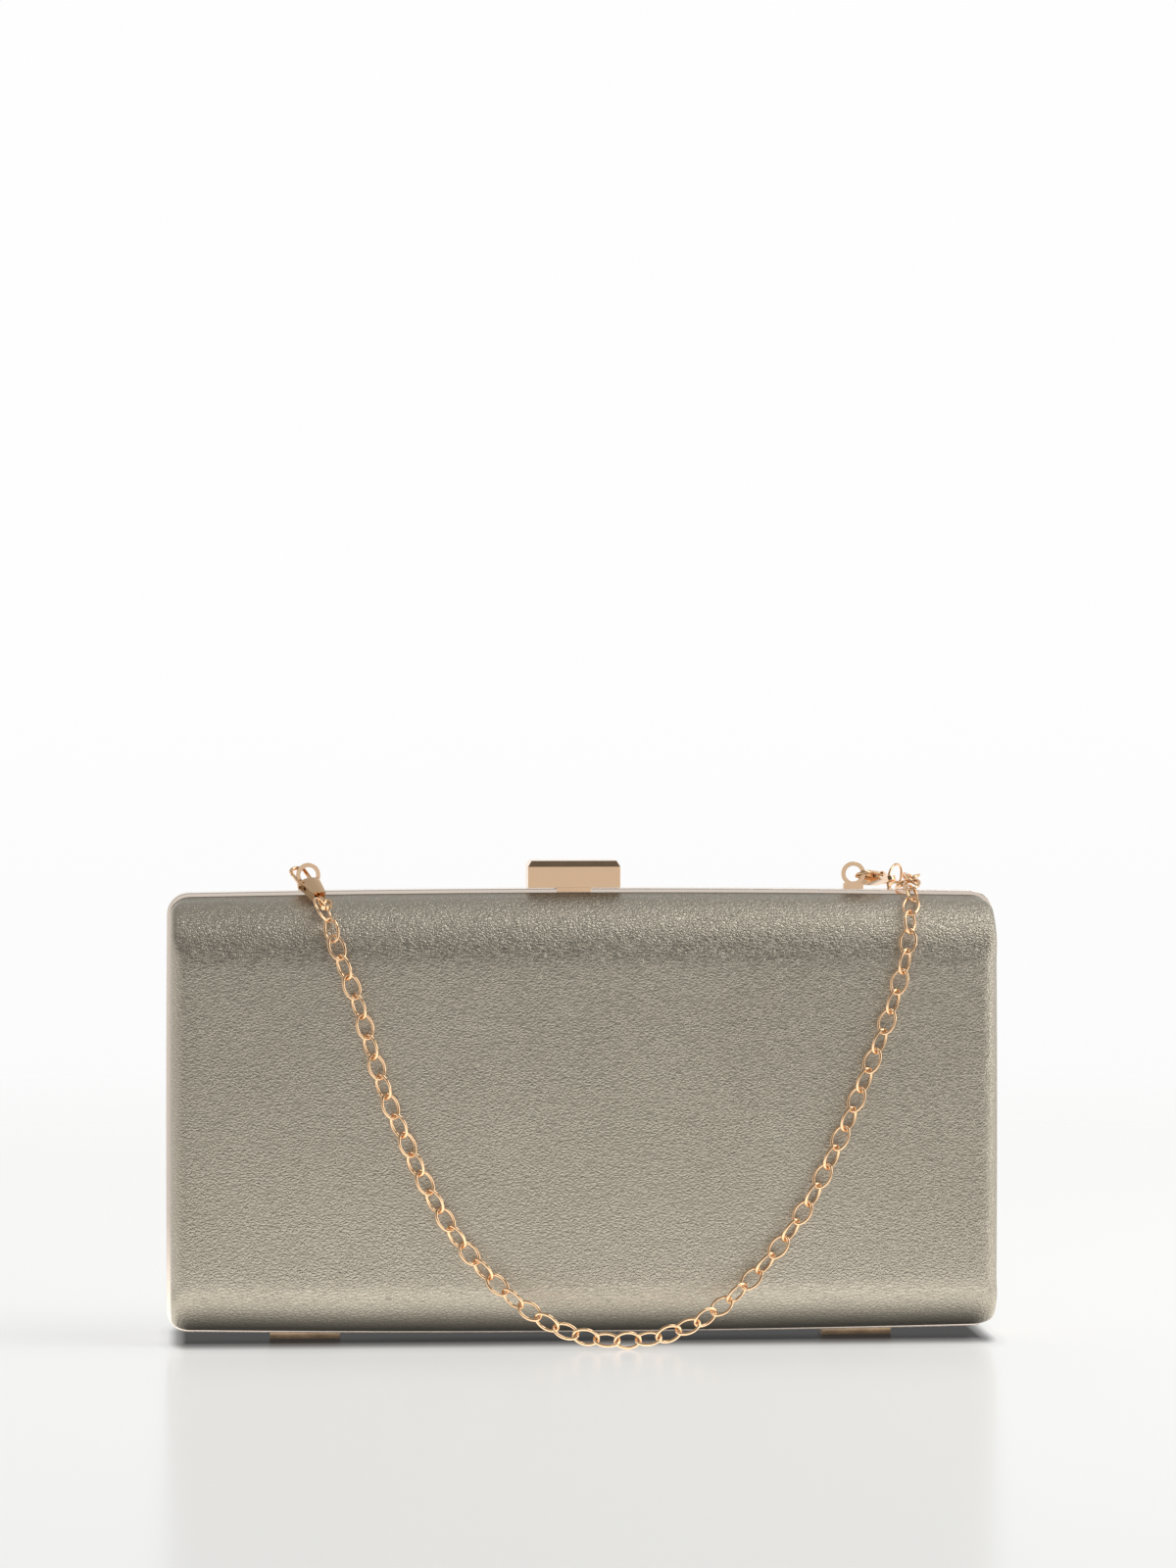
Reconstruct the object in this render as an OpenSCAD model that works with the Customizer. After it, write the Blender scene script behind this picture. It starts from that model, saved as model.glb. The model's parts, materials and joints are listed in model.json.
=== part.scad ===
// Box clutch bag: two moulded half shells covered in metallic leather, a polished metal
// frame, a tip-up clasp, two hinges underneath and a link chain on two snap hooks.
// Millimetres. X to the right, Y to the back, Z up. The origin is the middle of the hinge
// line on the surface that the bag stands on. The front faces towards -Y.

/* [Frame] */
// Overall width of the metal frame
frame_width = 210; // [180:1:240]
// Height of the frame in the middle, where it is crowned
frame_height = 112.4; // [95:0.1:130]
// How far the top and bottom rails rise and fall from their ends to the middle
crown = 1.0; // [0.4:0.1:2]
// Bow of the two ends
side_bow = 0.25; // [0.1:0.05:0.6]
// Corner radius of the frame
frame_corner = 5.5; // [4:0.1:9]
// Depth of each rail, front to back
rail_depth = 5.0; // [4:0.1:7]
// Thickness of each rail
rail_wall = 2.3; // [1.6:0.1:3]
// Gap between the two rails when the case is shut
parting_gap = 0.3; // [0.2:0.05:0.5]

/* [Shells] */
// Depth of each covered shell, from its rail to its face
shell_depth = 18; // [14:0.5:24]
// Radius of the roll along the bottom of each face
bottom_roll = 14; // [10:0.5:16]
// Radius where the face meets the two ends
end_radius = 4.2; // [1.5:0.1:6]
// How far the leather sits inside the frame's outline
cover_inset = 1.0; // [0.5:0.1:2]
// Thickness of the leather
leather = 0.8; // [0.6:0.1:1.2]
// Thickness of the moulded core
core_wall = 1.8; // [1.4:0.1:2.6]
// Thickness of the lining
lining_wall = 0.6; // [0.4:0.1:1]
// Glue gap between neighbouring layers
glue_gap = 0.05; // [0.03:0.01:0.1]

/* [Hinges] */
// Distance of each hinge from the middle
hinge_x = 70; // [50:0.5:85]
// Length of a hinge
hinge_length = 17.7; // [14:0.1:24]
// Length of the middle knuckle
knuckle_middle = 8.6; // [6:0.1:12]
// Radius of the knuckles and height of the pin above the floor
knuckle_r = 1.5; // [1.3:0.05:2]
// Radius of the hinge pin
hinge_pin_r = 0.6; // [0.5:0.05:0.8]
// How far each leaf reaches under its rail
leaf_reach = 4.2; // [3.6:0.1:4.8]
// Radial running clearance of the pins
pin_play = 0.05; // [0.02:0.01:0.1]

/* [Clasp] */
// Offset of the clasp from the middle
clasp_x = -2.0; // [-6:0.1:6]
// Width of the clasp block
block_width = 23.4; // [18:0.1:30]
// Height of the block
block_height = 6.8; // [5:0.1:9]
// Height of the bevel round its top
block_bevel = 1.5; // [0.8:0.1:2.2]
// Width of the bracket that carries the block
bracket_width = 8.7; // [7:0.1:11]
// Gap between the block and the rails
block_gap = 0.25; // [0.2:0.05:0.5]

/* [Lugs] */
// Distance of each chain lug from the middle
lug_x = 69.2; // [55:0.1:85]
// Outer radius of the eye
lug_r = 3.05; // [2.6:0.05:4]
// Radius of the hole
lug_hole = 2.0; // [1.6:0.05:2.6]
// Height of the eye's middle above the rail
lug_rise = 4.0; // [3.4:0.1:6]
// Thickness of the lug
lug_thick = 1.4; // [1:0.1:2]

/* [Snap hooks] */
// Radius of the wire of the hook
hook_wire = 0.5; // [0.4:0.05:0.8]
// Inside radius of the hook
hook_inside = 1.3; // [1.2:0.1:2.2]
// Length from the seat of the hook to the middle of the tail eye
snap_length = 17.5; // [14:0.1:22]
// Width of the body at the hook
snap_wide = 5.4; // [4:0.1:6.4]
// Width of the body at the tail
snap_narrow = 3.3; // [2.4:0.1:4]
// Thickness of the body
snap_thick = 2.7; // [2:0.1:3.4]
// Sheet thickness of the body
snap_sheet = 0.45; // [0.3:0.05:0.7]
// Hole radius of the tail eye
tail_hole = 1.3; // [1:0.05:1.6]

/* [Chain] */
// Outer length of a link
link_length = 7.0; // [5:0.1:9]
// Outer width of a link
link_width = 4.7; // [3.5:0.1:6]
// Thickness of the link wire
link_wire = 0.76; // [0.5:0.02:1]
// Distance between the middles of neighbouring links, before rounding to whole links
link_pitch = 5.24; // [4:0.01:7.5]
// Turn of every second link out of flat
link_turn = 42; // [30:1:50]
// Turn of the links between them, to the other side
link_turn_back = 16; // [5:1:30]
// Slow swing of both turns along the chain
link_swing = 6; // [0:1:12]
// Outer diameter of the two round rings
ring_size = 7.7; // [6:0.1:10]
// Thickness of the ring wire
ring_wire = 0.66; // [0.5:0.02:1]

/* [Hidden] */
$fn = 72;
R_CROWN = (pow(frame_width / 2, 2) + pow(crown, 2)) / (2 * crown);
R_SIDE = (pow(frame_height / 2, 2) + pow(side_bow, 2)) / (2 * side_bow);
half_w = frame_width / 2;
// height of a crowned line above or below its middle at a distance x
function sag(x) = R_CROWN - sqrt(R_CROWN * R_CROWN - x * x);
function near(s) = s / 1000;
hinge_drop = 1.6;
frame_z0 = hinge_drop - sag(hinge_x);
frame_z1 = frame_z0 + frame_height;
mid_z = (frame_z0 + frame_z1) / 2;
rail_in = parting_gap / 2;
pin_z = knuckle_r;
front_face = rail_depth + shell_depth;
function rail_top(x) = frame_z1 - sag(x);

e_core = cover_inset + leather + glue_gap;
e_core_in = e_core + core_wall;
e_lining = e_core_in + glue_gap;
e_void = e_lining + lining_wall;

function unit(v) = v / norm(v);
module along(o, u, v) {
    a = unit(u);
    w = unit(cross(a, v));
    b = cross(w, a);
    multmatrix([[a[0], b[0], w[0], o[0]], [a[1], b[1], w[1], o[1]],
        [a[2], b[2], w[2], o[2]], [0, 0, 0, 1]]) children();
}

// sizes that the hanging chain was laid out for, and how it follows other sizes
laid_height = 112.4;
laid_face = 23;
laid_lug = 69.2;
low_end = 20;
high_end = 94;
side_end = 50;
function within(t) = max(0, min(1, t));
function fit(p) = [
    p[0] + (lug_x - laid_lug) * sign(p[0]) * within(abs(p[0]) / side_end),
    p[1] * front_face / laid_face,
    p[2] + (frame_height - laid_height) * within((p[2] - low_end) / (high_end - low_end))];

// Outline of the frame in the XZ plane, moved inwards by e

// centre of a corner arc: at a set distance from both arc centres
function corner_c() = let (
    r = frame_corner,
    dt = R_CROWN - r, ds = R_SIDE - r,
    // arc centres for the top right corner, measured from the middle of the frame
    tx = 0, tz = frame_height / 2 - R_CROWN,
    sx = half_w - R_SIDE, sz = 0,
    d = norm([sx - tx, sz - tz]),
    a = (dt * dt - ds * ds + d * d) / (2 * d),
    h = sqrt(dt * dt - a * a),
    px = tx + a * (sx - tx) / d, pz = tz + a * (sz - tz) / d,
    c1 = [px + h * (sz - tz) / d, pz - h * (sx - tx) / d],
    c2 = [px - h * (sz - tz) / d, pz + h * (sx - tx) / d])
    (c1[0] > 0 && c1[1] > 0) ? c1 : c2;

CC = corner_c();

// points of one quarter of the outline, from the middle of the side to the middle of the top
function side_pts(e, n) = [for (i = [0 : n - 1])
    let (a1 = atan2(CC[1], CC[0] - (half_w - R_SIDE)), a = a1 * i / n)
    [half_w - R_SIDE + (R_SIDE - e) * cos(a), (R_SIDE - e) * sin(a)]];
function corner_pts(e, n) = [for (i = [0 : n])
    let (a1 = atan2(CC[1], CC[0] - (half_w - R_SIDE)),
        a2 = atan2(CC[1] - (frame_height / 2 - R_CROWN), CC[0]),
        a = a1 + (a2 - a1) * i / n, r = max(frame_corner - e, 0.6))
    [CC[0] + min(0, frame_corner - e - r) + r * cos(a),
        CC[1] + min(0, frame_corner - e - r) + r * sin(a)]];
function top_pts(e, n) = [for (i = [1 : n])
    let (a2 = atan2(CC[1] - (frame_height / 2 - R_CROWN), CC[0]), a = a2 + (90 - a2) * i / n)
    [(R_CROWN - e) * cos(a), frame_height / 2 - R_CROWN + (R_CROWN - e) * sin(a)]];
function quarter(e) = concat(side_pts(e, 3), corner_pts(e, 9), top_pts(e, 8));
function ring_pts(e) = let (q = quarter(e), n = len(q)) concat(
    q,
    [for (i = [n - 2 : -1 : 0]) [-q[i][0], q[i][1]]],
    [for (i = [1 : n - 1]) [-q[i][0], -q[i][1]]],
    [for (i = [n - 2 : -1 : 1]) [q[i][0], -q[i][1]]]);

// slab of the outline between two depths, counted forwards from the parting plane
module slab(e, d0, d1) {
    translate([0, -d0, mid_z]) rotate([90, 0, 0])
        linear_extrude(height = d1 - d0) polygon(ring_pts(e));
}

// side view of a shell: a large roll above and a smaller one below
module side_view(e, d0) {
    top = frame_z1 - e;
    bot = frame_z0 + e;
    rt = shell_depth - (e - cover_inset);
    rb = bottom_roll - (e - cover_inset);
    yf = rail_depth + rt;
    translate([-half_w, 0, 0]) rotate([90, 0, 90]) linear_extrude(height = frame_width)
        union() {
            translate([-yf, bot + rb]) square([yf - d0, top - rt - bot - rb]);
            translate([-rail_depth, bot]) square([rail_depth - d0, top - bot]);
            translate([-yf + rb, bot]) square([yf - rb - rail_depth + near(1), rb + near(1)]);
            intersection() {
                translate([-rail_depth, top - rt]) circle(r = rt);
                translate([-yf, top - rt]) square([yf - rail_depth + near(1), rt + near(1)]);
            }
            intersection() {
                translate([-yf + rb, bot + rb]) circle(r = rb);
                translate([-yf, bot]) square([rb, rb + near(1)]);
            }
        }
}

// plan view of a shell: tight radii at its two ends
module plan_view(e, d0) {
    r = max(end_radius - (e - cover_inset), 0.8);
    yf = front_face - (e - cover_inset);
    xw = half_w - e;
    translate([0, 0, -frame_height / 4]) linear_extrude(height = 1.6 * frame_height) union() {
        translate([-xw, -yf + r]) square([2 * xw, yf - r - d0]);
        translate([-xw + r, -yf]) square([2 * (xw - r), r + near(1)]);
        for (s = [-1, 1]) translate([s * (xw - r), -yf + r]) circle(r = r);
    }
}

// solid of a shell at inset e, from depth d0 forwards
module form(e, d0) {
    intersection() {
        slab(e, d0, front_face);
        side_view(e, d0);
        plan_view(e, d0);
    }
}

module back_half() { mirror([0, 1, 0]) children(); }

// Covered shells

module cover_half() {
    difference() {
        form(cover_inset, rail_depth + glue_gap);
        form(cover_inset + leather, rail_depth - glue_gap);
    }
}
module core_half() {
    difference() {
        union() {
            form(e_core, rail_depth + glue_gap);
            slab(rail_wall + glue_gap, rail_in + 0.8, rail_depth + 2 * glue_gap);
        }
        form(e_core_in, 0);
    }
}
module lining_half() {
    difference() {
        form(e_lining, rail_in + 0.8);
        form(e_void, 0);
    }
}

// Rails, relieved along the bottom so that they clear the hinge axis

module rail_half() {
    difference() {
        slab(0, rail_in, rail_depth);
        slab(rail_wall, 0, rail_depth + 1);
        translate([-half_w, -0.55, -1]) cube([frame_width, 0.55, pin_z + 1.15]);
        for (s = [-1, 1]) translate([s * hinge_x - hinge_length / 2 - 0.3, 0, pin_z])
            rotate([0, 90, 0]) cylinder(r = knuckle_r + 0.35, h = hinge_length + 0.6);
    }
}
module rivet_holes(y) {
    for (s = [-1, 1]) translate([clasp_x + s * rivet_x, y, frame_z1 - rivet_long - 0.1])
        cylinder(r = rivet_r + near(10), h = rivet_long + 1);
}
rivet_x = 1.7;
rivet_r = 0.45;
rivet_long = 1.5;
bracket_rivet_y = -2.6;
catch_rivet_y = 3.5;

// Leather covers, cores and linings

module cover_front() { color("#9C968A") cover_half(); }
module cover_back() { color("#9C968A") back_half() cover_half(); }
module core_front() { color("#3A3633") core_half(); }
module core_back() { color("#3A3633") back_half() core_half(); }
module lining_front() { color("#2B2724") lining_half(); }
module lining_back() { color("#2B2724") back_half() lining_half(); }
module rail_front() {
    color("#E2B99A") difference() {
        rail_half();
        rivet_holes(bracket_rivet_y);
    }
}
module rail_back() {
    color("#E2B99A") difference() {
        back_half() rail_half();
        rivet_holes(catch_rivet_y);
    }
}

// Hinges: outer knuckles on the front leaf, the middle knuckle on the back leaf

leaf_inner = 1.9;
knuckle_gap = 0.1;
module knuckle(x0, x1) {
    translate([x0, 0, pin_z]) rotate([0, 90, 0]) cylinder(r = knuckle_r, h = x1 - x0);
    translate([x0, -leaf_inner - near(10), 0]) cube([x1 - x0, leaf_inner + near(10), pin_z]);
}
module leaf_base() {
    translate([-hinge_length / 2, -leaf_reach, 0])
        cube([hinge_length, leaf_reach - leaf_inner, 3 * pin_z]);
}
module pin_bore(r) {
    translate([-hinge_length, 0, pin_z]) rotate([0, 90, 0]) cylinder(r = r, h = 2 * hinge_length);
}
module leaf_cut(s) {
    // the leaf ends against the curved underside of its rail
    translate([-s * hinge_x, 0, 0]) difference() {
        slab(-near(20), -rail_depth, rail_depth);
        translate([-half_w, -leaf_inner, -1]) cube([frame_width, 2 * leaf_inner, 5]);
    }
}
module hinge_leaves_front() {
    color("#D9AE90") for (s = [-1, 1]) translate([s * hinge_x, 0, 0]) difference() {
        union() {
            leaf_base();
            knuckle(-hinge_length / 2, -knuckle_middle / 2);
            knuckle(knuckle_middle / 2, hinge_length / 2);
        }
        leaf_cut(s);
        pin_bore(hinge_pin_r + near(10));
    }
}
module hinge_leaves_back() {
    color("#D9AE90") for (s = [-1, 1]) translate([s * hinge_x, 0, 0]) difference() {
        back_half() union() {
            leaf_base();
            knuckle(-knuckle_middle / 2 + knuckle_gap, knuckle_middle / 2 - knuckle_gap);
        }
        leaf_cut(s);
        pin_bore(hinge_pin_r + pin_play);
    }
}
module hinge_pins() {
    color("#C79A7C") for (s = [-1, 1]) translate([s * hinge_x - hinge_length / 2, 0, pin_z])
        rotate([0, 90, 0]) cylinder(r = hinge_pin_r, h = hinge_length);
}

// Chain lugs on the front rail

lug_y = -4.2;
lug_base = 5.1;
module lug(s) {
    x = s * lug_x;
    zr = rail_top(lug_x);
    ze = zr + lug_rise;
    translate([x, lug_y + lug_thick / 2, 0]) rotate([90, 0, 0]) difference() {
        union() {
            translate([0, ze]) cylinder(r = lug_r, h = lug_thick);
            translate([-lug_base / 2, zr + near(20)]) cube([lug_base, lug_rise - lug_hole - 0.4, lug_thick]);
        }
        translate([0, ze, -1]) cylinder(r = lug_hole, h = lug_thick + 2);
        // the foot follows the rail
        fall = sag(lug_x + lug_base / 2) - sag(lug_x - lug_base / 2);
        translate([-lug_base, zr - 2]) cube([2 * lug_base, 2 + fall, lug_thick + 1]);
    }
}
module lug_left() { color("#E2B99A") lug(-1); }
module lug_right() { color("#E2B99A") lug(1); }

// Clasp: a bevelled block on a bracket, with a hook over the catch of the back rail

ct = frame_z1;
block_front = 6.5;
block_back = 5.0;
pivot_y = -4.0;
pivot_z = ct + 3.0;
clasp_pin_r = 0.5;
pocket_half = 4.6;
pocket_front = 5.95;
pocket_back = 3.9;
pocket_top = 4.6;
ear = 0.8;
catch_lip = 1.7;
catch_half = 2.6;
bevel_ends = 0.9;
bevel_faces = 0.55;

module bevelled_block(w, y0, y1, h, b) {
    // a box whose upper edges are bevelled on all four sides
    rise = h - b;
    intersection() {
        translate([-w / 2, y0, 0]) cube([w, y1 - y0, h]);
        translate([0, y1 + 1, 0]) rotate([90, 0, 0]) linear_extrude(height = y1 - y0 + 2)
            polygon([[-w / 2, -1], [w / 2, -1], [w / 2, rise], [w / 2 - bevel_ends, h],
                [-w / 2 + bevel_ends, h], [-w / 2, rise]]);
        translate([-w, 0, 0]) rotate([90, 0, 90]) linear_extrude(height = 2 * w)
            polygon([[y0, -1], [y1, -1], [y1, rise], [y1 - bevel_faces, h],
                [y0 + bevel_faces, h], [y0, rise]]);
    }
}
module clasp_block() {
    color("#DDB292") translate([clasp_x, 0, 0]) difference() {
        translate([0, 0, ct + block_gap])
            bevelled_block(block_width, -block_front, block_back, block_height, block_bevel);
        translate([-pocket_half, -pocket_front, ct - 1])
            cube([2 * pocket_half, pocket_front + pocket_back, 1 + pocket_top]);
        // way out for the catch when the back half swings off
        translate([-catch_half - 0.4, 0, ct - 1])
            cube([2 * catch_half + 0.8, block_back + 1, 1 + catch_lip + 0.35]);
        translate([-pocket_half - 1.2, pivot_y, pivot_z]) rotate([0, 90, 0])
            cylinder(r = clasp_pin_r + pin_play, h = 2 * pocket_half + 2.4);
    }
}
module clasp_hook() {
    // plate under the roof of the block, with a nose above the catch
    color("#C9A083") translate([clasp_x - catch_half, 0, 0]) rotate([90, 0, 90])
        linear_extrude(height = 2 * catch_half) polygon([
            [-2.2, ct + pocket_top - near(20)], [-2.2, ct + pocket_top - 0.7],
            [2.1, ct + pocket_top - 0.7], [2.1, ct + catch_lip + 0.2],
            [2.9, ct + catch_lip + 0.2], [3.4, ct + pocket_top - 0.7],
            [3.4, ct + pocket_top - near(20)]]);
}
module clasp_bracket() {
    color("#B88A6C") translate([clasp_x, 0, 0]) difference() {
        union() {
            translate([-bracket_width / 2, -5.42, ct - cover_inset + 0.08])
                cube([bracket_width, 0.4, cover_inset + 0.52]);
            translate([-bracket_width / 2, -5.42, ct + near(20)])
                cube([bracket_width, 4.1, 0.58]);
            for (s = [-1, 1]) translate([s * (bracket_width - ear) / 2 - ear / 2, pivot_y, 0]) {
                translate([0, -1.1, ct + 0.3]) cube([ear, 2.2, pivot_z - ct - 0.3]);
                translate([0, 0, pivot_z]) rotate([0, 90, 0]) cylinder(r = 1.1, h = ear);
            }
        }
        translate([-bracket_width, pivot_y, pivot_z]) rotate([0, 90, 0])
            cylinder(r = clasp_pin_r + near(10), h = 2 * bracket_width);
        for (s = [-1, 1]) translate([s * rivet_x, bracket_rivet_y, ct - 1])
            cylinder(r = rivet_r + near(10), h = 3);
    }
}
module clasp_pin() {
    color("#C79A7C") translate([clasp_x - pocket_half - 1.0, pivot_y, pivot_z]) rotate([0, 90, 0])
        cylinder(r = clasp_pin_r, h = 2 * pocket_half + 2.0);
}
module clasp_spring() {
    // bent strip between the bracket and the front of the block's roof
    t = 0.22;
    color("#C9CBCC") translate([clasp_x - 0.9, 0, 0]) rotate([90, 0, 90])
        linear_extrude(height = 1.8) polygon([
            [-1.6, ct + 0.62], [-4.75, ct + 0.62], [-5.0, ct + 0.9], [-5.15, ct + 3.9],
            [-4.2, ct + 4.3],
            [-4.2, ct + 4.3 - t], [-5.15 + t, ct + 3.75], [-5.0 + t, ct + 1.0],
            [-4.7, ct + 0.62 + t], [-1.6, ct + 0.62 + t]]);
}
module rivets(y, seat) {
    for (s = [-1, 1]) translate([clasp_x + s * rivet_x, y, ct - rivet_long]) {
        cylinder(r = rivet_r, h = rivet_long + seat + 0.1);
        translate([0, 0, rivet_long + seat + near(10)]) cylinder(r = 0.75, h = 0.3);
    }
}
module bracket_rivets() { color("#C79A7C") rivets(bracket_rivet_y, 0.6); }
module catch_rivets() { color("#C79A7C") rivets(catch_rivet_y, 0.45); }
module catch_plate() {
    color("#C9A083") translate([clasp_x, 0, 0]) difference() {
        union() {
            translate([-catch_half, 1.2, ct + near(20)]) cube([2 * catch_half, 3.3, 0.43]);
            translate([-catch_half, 1.2, ct + near(20)]) cube([2 * catch_half, 0.7, catch_lip - near(20)]);
        }
        for (s = [-1, 1]) translate([s * rivet_x, catch_rivet_y, ct - 1])
            cylinder(r = rivet_r + near(10), h = 3);
    }
}

// Snap hooks. Local frame: X from the seat of the hook to the tail, Y across the hook,
// Z along the hook's own pin

hook_r = hook_inside + hook_wire;
seat = 0.6;
hook_side = -0.9;
gate_gap = 0.35;
gate_wire = 0.42;
body_start = 6.2;
body_end = 13.4;
trigger_x = 7.4;
trigger_y = -2.0;
trigger_pin_r = 0.35;
slot_half = 0.5;
slot_floor = -0.9;
snap_mouth = snap_narrow - 2 * snap_sheet - 0.2;
module half_ring(r, w) {
    rotate_extrude(angle = 180) translate([r, 0]) circle(r = w, $fn = 32);
}
module bar(p, l, w) { translate(p) rotate([0, 90, 0]) cylinder(r = w, h = l, $fn = 32); }
// a tapered plan with a crowned broad face, made smaller by a sheet thickness s
module snap_form(s) {
    crown_r = 0.9 * snap_wide;
    intersection() {
        translate([0, 0, -snap_thick / 2 + s]) linear_extrude(height = snap_thick - 2 * s) polygon([
            [body_start, -snap_wide / 2 + s], [body_end, -snap_narrow / 2 + s],
            [body_end, snap_narrow / 2 - s], [body_start, snap_wide / 2 - s]]);
        translate([0, 0, snap_thick / 2 - crown_r]) rotate([0, 90, 0])
            cylinder(r = crown_r - s, h = body_end + 1);
    }
}
module snap_body() {
    difference() {
        union() {
            translate([seat, hook_side, 0]) rotate([0, 0, 90]) half_ring(hook_r, hook_wire);
            bar([seat, hook_side + hook_r, 0], body_start + 1.4 - seat, hook_wire);
            bar([seat, hook_side - hook_r, 0], 0.7, hook_wire);
            translate([seat + 0.7, hook_side - hook_r, 0]) sphere(r = hook_wire, $fn = 32);
            difference() {
                snap_form(0);
                // recess round the wire at the hook end
                intersection() {
                    translate([snap_sheet, 0, 0]) snap_form(snap_sheet);
                    translate([body_start - 1, -snap_wide, -snap_thick])
                        cube([1.7, 2 * snap_wide, 2 * snap_thick]);
                }
                // hollow towards the tail
                intersection() {
                    snap_form(snap_sheet);
                    translate([body_end - 3.2, -snap_wide, -snap_thick])
                        cube([3.2, 2 * snap_wide, 2 * snap_thick]);
                }
                translate([body_end - 0.6, -snap_mouth / 2, -snap_thick / 2 + snap_sheet])
                    cube([1, snap_mouth, snap_thick - 2 * snap_sheet - 0.35]);
            }
            bar([body_end - 3.6, 0, 0], snap_length - tail_hole - body_end + 3.4, 0.6);
            translate([snap_length, 0, -0.55]) cylinder(r = tail_hole + 0.65, h = 1.1);
        }
        translate([snap_length, 0, -1]) cylinder(r = tail_hole, h = 2);
        // slot for the trigger, and the pin that carries it
        translate([body_start - 1, -snap_wide / 2 - 1, -slot_half])
            cube([4.4, slot_floor + snap_wide / 2 + 1, 2 * slot_half]);
        translate([trigger_x, trigger_y, -3]) cylinder(r = trigger_pin_r + near(10), h = 6, $fn = 32);
    }
}
module snap_trigger() {
    x0 = seat + 0.7 + hook_wire + gate_gap;
    difference() {
        union() {
            bar([x0, hook_side - hook_r, 0], trigger_x - x0 + 0.3, gate_wire);
            translate([trigger_x, trigger_y, -gate_wire]) cylinder(r = 0.85, h = 2 * gate_wire, $fn = 32);
            translate([trigger_x - 0.4, -snap_wide / 2 - 0.8, -gate_wire])
                cube([0.9, 1.2, 2 * gate_wire]);
        }
        translate([trigger_x, trigger_y, -3]) cylinder(r = trigger_pin_r + pin_play, h = 6, $fn = 32);
    }
}
module snap_pin() {
    translate([trigger_x, trigger_y, -snap_thick / 2 + 0.35])
        cylinder(r = trigger_pin_r, h = snap_thick - 1.1, $fn = 32);
}
module snap_spring() {
    translate([0, 0, -0.35]) linear_extrude(height = 0.7) polygon([
        [9.3, slot_floor - 0.14], [9.3, slot_floor - near(20)],
        [7.1, slot_floor - near(20)], [7.1, slot_floor - 0.14]]);
}

// where each snap hook hangs on its lug, where its tail lies and how it is turned
snap_left_at = [-lug_x - 1.9, lug_y + 1.0, rail_top(lug_x) + lug_rise + 1.19];
snap_left_tail = fit([-65.317, -17.643, 110.293]);
snap_left_turn = [0.943, 0.3095, 0.1225];
snap_right_at = [lug_x + 1.64, lug_y + 0.05, rail_top(lug_x) + lug_rise - 0.39];
snap_right_tail = fit([80.03, 10.64, 114.96]);
snap_right_turn = [-0.817, 0.468, -0.337];
module at_left() { along(snap_left_at, snap_left_tail - snap_left_at, snap_left_turn) children(); }
module at_right() { along(snap_right_at, snap_right_tail - snap_right_at, snap_right_turn) children(); }
module snap_left() { color("#E2B99A") at_left() snap_body(); }
module snap_left_trigger() { color("#D9AE90") at_left() snap_trigger(); }
module snap_left_pin() { color("#C79A7C") at_left() snap_pin(); }
module snap_left_spring() { color("#C9CBCC") at_left() snap_spring(); }
module snap_right() { color("#E2B99A") at_right() snap_body(); }
module snap_right_trigger() { color("#D9AE90") at_right() snap_trigger(); }
module snap_right_pin() { color("#C79A7C") at_right() snap_pin(); }
module snap_right_spring() { color("#C9CBCC") at_right() snap_spring(); }

// Round rings between the snap hooks and the chain

module round_ring(c, n) {
    along(c, n, [1, 0.2, 0]) rotate([0, 90, 0]) rotate_extrude()
        translate([ring_size / 2 - ring_wire / 2, 0]) circle(r = ring_wire / 2, $fn = 32);
}
module ring_left() { color("#E2B99A") round_ring(ring_left_c, ring_left_n); }
module ring_right() { color("#E2B99A") round_ring(ring_right_c, ring_right_n); }
ring_left_c = fit([-65.916, -21.292, 108.92]);
ring_left_n = [-0.7903, 0.2955, -0.5368];
ring_right_c = fit([81.963, 13.411, 115.375]);
ring_right_n = [0.8055, -0.5635, -0.1833];

// Chain: oval links along a route on the front face, turned to either side in turn

// position of the chain's middle line at the sizes that it was laid out for
HANG = [
    [-64.1, -22.3, 105.0], [-62.9, -24.2, 100.7], [-60.8, -24.9, 95.0], [-57.1, -24.9, 85.4],
    [-53.0, -24.9, 71.0], [-49.3, -24.9, 60.2], [-45.6, -24.9, 52.0], [-42.2, -24.9, 44.0],
    [-37.6, -24.9, 35.4], [-33.4, -24.9, 28.4], [-28.7, -25.2, 22.2], [-24.0, -26.0, 17.0],
    [-18.6, -28.0, 12.0], [-10.5, -31.0, 6.6], [-5.0, -32.4, 4.2], [0.8, -33.0, 2.8],
    [6.0, -33.2, 2.35], [10.6, -33.2, 2.35], [16.0, -32.9, 2.8], [21.4, -32.2, 4.2],
    [26.5, -31.0, 6.2], [31.5, -29.0, 8.8], [36.0, -27.0, 12.0], [40.6, -25.6, 16.0],
    [45.5, -25.0, 21.3], [50.3, -24.9, 27.4], [56.0, -24.9, 36.0], [60.7, -24.9, 45.4],
    [65.2, -24.9, 55.2], [68.2, -24.9, 62.7], [71.2, -24.9, 70.0], [75.0, -24.9, 79.8],
    [78.1, -24.9, 89.5], [79.6, -24.95, 94.6], [80.5, -24.65, 99.2], [81.2, -23.05, 103.9],
    [81.9, -20.3, 108.1], [82.7, -16.15, 111.6], [83.4, -10.8, 114.25], [84.2, -5.4, 115.65],
    [84.9, 0.4, 115.95], [85.1, 5.3, 115.6], [84.3, 10.6, 114.4], [82.5, 15.6, 112.0]];
ROUTE = [for (p = HANG) fit(p)];
function steps(p) = [for (i = [1 : len(p) - 1]) norm(p[i] - p[i - 1])];
function sums(v, i = 0, s = 0) = i >= len(v) ? [s] : concat([s], sums(v, i + 1, s + v[i]));
LEN = sums(steps(ROUTE));
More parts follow.
